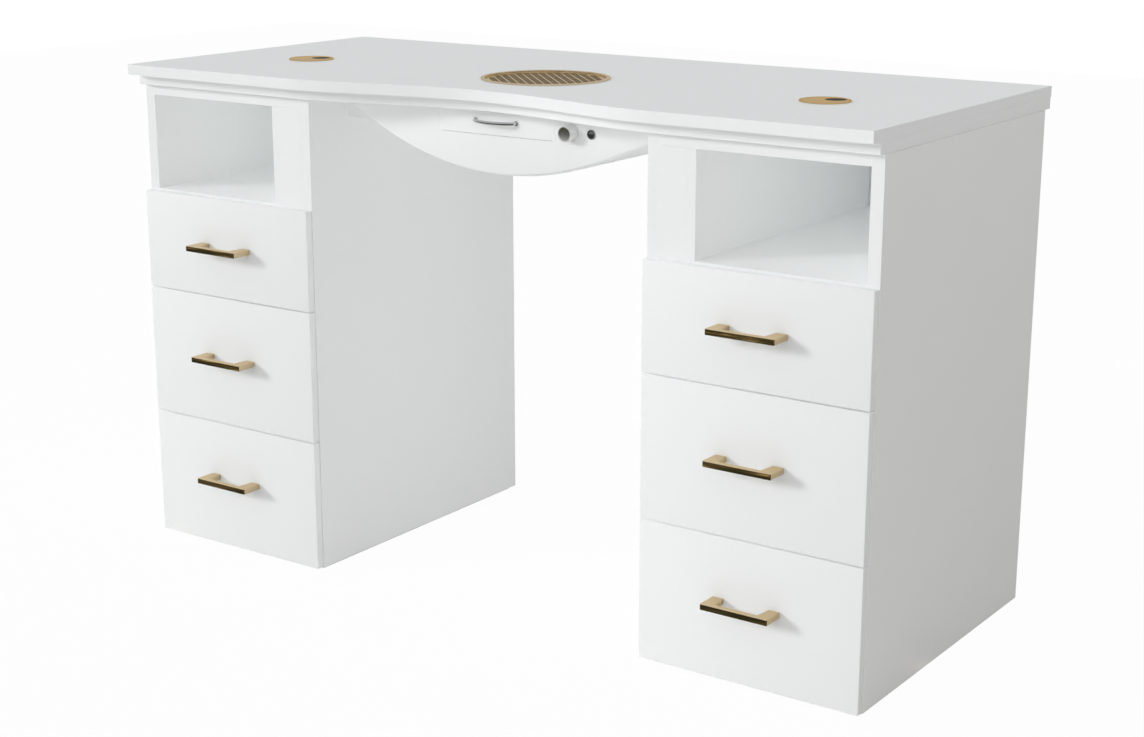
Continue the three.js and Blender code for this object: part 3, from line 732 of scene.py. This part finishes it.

# routes listed: from the inlet to the speed control, and from the fan to the inlet
wiring = {
    "radius": 1.5 * mm, "sides": 12, "steps": 8,
    "supply": [(0.1580, 0.0405, 0.6975), (0.1560, 0.030, 0.6940), (0.1520, -0.020, 0.6890),
               (0.1500, -0.115, 0.6890), (0.1465, -0.152, 0.6900), (0.1390, -0.1595, 0.6950),
               (0.1345, -0.1600, 0.7005)],
    "fanLead": [(0.1250, 0.004, 0.6890), (0.1380, 0.006, 0.6892), (0.1460, 0.016, 0.6900),
                (0.1535, 0.034, 0.6990), (0.1545, 0.0405, 0.7015)],
}


# a flexible lead through a few points, eased between them
def lead(name, points):
    steps = wiring["steps"]
    knots = [Vector(p) for p in points]
    knots = [2 * knots[0] - knots[1], *knots, 2 * knots[-1] - knots[-2]]
    path = []
    for a, b, c, d in zip(knots, knots[1:], knots[2:], knots[3:]):
        for i in range(steps):
            t = i / steps
            path.append(0.5 * (2 * b + (c - a) * t + (2 * a - 5 * b + 4 * c - d) * t ** 2
                               + (3 * b - a - 3 * c + d) * t ** 3))
    path.append(knots[-2])
    bm = bmesh.new()
    bmesh.ops.create_circle(bm, cap_ends=True, radius=wiring["radius"], segments=wiring["sides"])
    facing = Vector((0, 0, 1))
    spot = Vector()
    front = bm.faces[:]
    for here, there in zip(path, path[1:] + [2 * path[-1] - path[-2]]):
        if here != path[0]:
            front = [f for f in bmesh.ops.extrude_face_region(bm, geom=front)["geom"]
                     if isinstance(f, bmesh.types.BMFace)]
        rim = {v for f in front for v in f.verts}
        along = (there - spot).normalized() if here != path[0] else (there - here).normalized()
        turn = facing.rotation_difference(along).to_matrix()
        bmesh.ops.rotate(bm, verts=list(rim), cent=spot, matrix=turn)
        bmesh.ops.translate(bm, verts=list(rim), vec=here - spot)
        facing, spot = along, here
    bmesh.ops.recalc_face_normals(bm, faces=bm.faces)
    makePiece(name, bm, "root", "rubberBlack", sharp=50, weighted=False)


lead("supplyLead", wiring["supply"])
lead("fanLead", wiring["fanLead"])
print("collector done")

# ---------- studio ----------
studio = {
    "skyLeft": (0.605, 0.622, 0.628), "skyRight": (0.57, 0.555, 0.545), "mirrorSky": (0.60, 0.61, 0.62),
    "mirrorFloor": (0.035, 0.04, 0.03), "mirrorHaze": (0.13, 0.115, 0.09), "mirrorGlow": (0.75, 0.66, 0.42),
    "mirrorScale": 11.0, "glowTo": 0.16, "hazeAt": 0.26, "darkFrom": 0.62,
    "floorSize": 14.0, "floorTone": (0.85, 0.845, 0.84), "floorShade": 0.04,
    "keyFrom": (-0.646, -0.692, 0.323), "keyWidth": 14.0, "keyLight": 0.365,
    "fillFrom": (-1, 0, 0), "fillWidth": 60.0, "fillLight": 0.295,
}


# pure white behind the object, an even sky for the light, and a duller one for gloss to mirror
def worldLight():
    world = bpy.data.worlds.new("studio")
    bpy.context.scene.world = world
    world.use_nodes = True
    tree = world.node_tree
    tree.nodes.clear()
    out = addNode(tree, "ShaderNodeOutputWorld")
    path = addNode(tree, "ShaderNodeLightPath")
    ambient = addNode(tree, "ShaderNodeBackground", {"Strength": 1.0})
    place = addNode(tree, "ShaderNodeTexCoord")
    axes = addNode(tree, "ShaderNodeSeparateXYZ")
    tree.links.new(place.outputs["Generated"], axes.inputs[0])
    across = addNode(tree, "ShaderNodeMapRange", {"From Min": -0.2, "From Max": 0.9},
                     interpolation_type="SMOOTHSTEP")
    tree.links.new(axes.outputs["X"], across.inputs["Value"])
    tone = addNode(tree, "ShaderNodeMix", {"A": (*studio["skyLeft"], 1), "B": (*studio["skyRight"], 1)},
                   data_type="RGBA")
    tree.links.new(across.outputs["Result"], socketOf(tone.inputs, "Factor"))
    tree.links.new(socketOf(tone.outputs, "Result"), ambient.inputs["Color"])
    mirrored = addNode(tree, "ShaderNodeBackground", {"Color": (*studio["mirrorSky"], 1), "Strength": 1.0})
    seen = addNode(tree, "ShaderNodeBackground", {"Color": (1, 1, 1, 1), "Strength": 1.0})
    room = addNode(tree, "ShaderNodeMixShader")
    tree.links.new(path.outputs["Is Glossy Ray"], room.inputs["Fac"])
    tree.links.new(ambient.outputs[0], room.inputs[1])
    tree.links.new(mirrored.outputs[0], room.inputs[2])
    mix = addNode(tree, "ShaderNodeMixShader")
    tree.links.new(path.outputs["Is Camera Ray"], mix.inputs["Fac"])
    tree.links.new(room.outputs[0], mix.inputs[1])
    tree.links.new(seen.outputs[0], mix.inputs[2])
    tree.links.new(mix.outputs[0], out.inputs["Surface"])


# pale floor that stays white to the eye; polished metal sees it as a dark patterned room
def studioFloor():
    bm = bmesh.new()
    bmesh.ops.create_grid(bm, x_segments=2, y_segments=2, size=studio["floorSize"] / 2)
    mesh = bpy.data.meshes.new("studioFloor")
    bm.to_mesh(mesh)
    bm.free()
    floor = bpy.data.objects.new("studioFloor", mesh)
    bpy.context.scene.collection.objects.link(floor)
    material, tree, shader = newMaterial("studioFloor", Roughness=0.9, Specular_IOR_Level=0.0)
    shader.inputs["Base Color"].default_value = (*studio["floorTone"], 1)
    path = addNode(tree, "ShaderNodeLightPath")
    glow = addNode(tree, "ShaderNodeEmission", {"Color": (1, 1, 1, 1), "Strength": 1.0})
    room = addNode(tree, "ShaderNodeEmission", {"Strength": 1.0})
    place = addNode(tree, "ShaderNodeTexCoord")
    shapes = addNode(tree, "ShaderNodeTexVoronoi", {"Scale": studio["mirrorScale"], "Randomness": 0.9},
                     feature="F1")
    tone = addNode(tree, "ShaderNodeValToRGB")
    tone.color_ramp.elements[0].position = studio["glowTo"]
    tone.color_ramp.elements[0].color = (*studio["mirrorGlow"], 1)
    tone.color_ramp.elements[1].position = studio["darkFrom"]
    tone.color_ramp.elements[1].color = (*studio["mirrorFloor"], 1)
    tone.color_ramp.elements.new(studio["hazeAt"]).color = (*studio["mirrorHaze"], 1)
    tree.links.new(place.outputs["Object"], shapes.inputs["Vector"])
    tree.links.new(shapes.outputs["Distance"], tone.inputs["Fac"])
    tree.links.new(tone.outputs["Color"], room.inputs["Color"])
    mirrored = addNode(tree, "ShaderNodeMixShader")
    tree.links.new(path.outputs["Is Glossy Ray"], mirrored.inputs["Fac"])
    tree.links.new(shader.outputs[0], mirrored.inputs[1])
    tree.links.new(room.outputs[0], mirrored.inputs[2])
    share = mathNode(tree, "MULTIPLY", path.outputs["Is Camera Ray"], 1 - studio["floorShade"])
    mix = addNode(tree, "ShaderNodeMixShader")
    tree.links.new(share, mix.inputs["Fac"])
    tree.links.new(mirrored.outputs[0], mix.inputs[1])
    tree.links.new(glow.outputs[0], mix.inputs[2])
    tree.links.new(mix.outputs[0], tree.nodes["Material Output"].inputs["Surface"])
    mesh.materials.append(material)


# brightness is what a pure white face square to the light would show; a fill casts no shadow
def sunLight(name, towards, width, brightness, fill):
    data = bpy.data.lights.new(name, "SUN")
    data.angle = math.radians(width)
    data.energy = brightness * math.pi
    data.use_shadow = not fill
    data.cycles.use_multiple_importance_sampling = not fill
    light = bpy.data.objects.new(name, data)
    towards = Vector(towards).normalized()
    light.location = towards * 4
    light.rotation_euler = towards.to_track_quat("Z", "Y").to_euler()
    light.visible_glossy = False
    bpy.context.scene.collection.objects.link(light)


worldLight()
studioFloor()
sunLight("keyLight", studio["keyFrom"], studio["keyWidth"], studio["keyLight"], False)
sunLight("sideFill", studio["fillFrom"], studio["fillWidth"], studio["fillLight"], True)
bpy.context.scene.view_settings.view_transform = "Standard"
bpy.context.scene.cycles.diffuse_bounces = 12      # white niches stay light
print("studio lit")
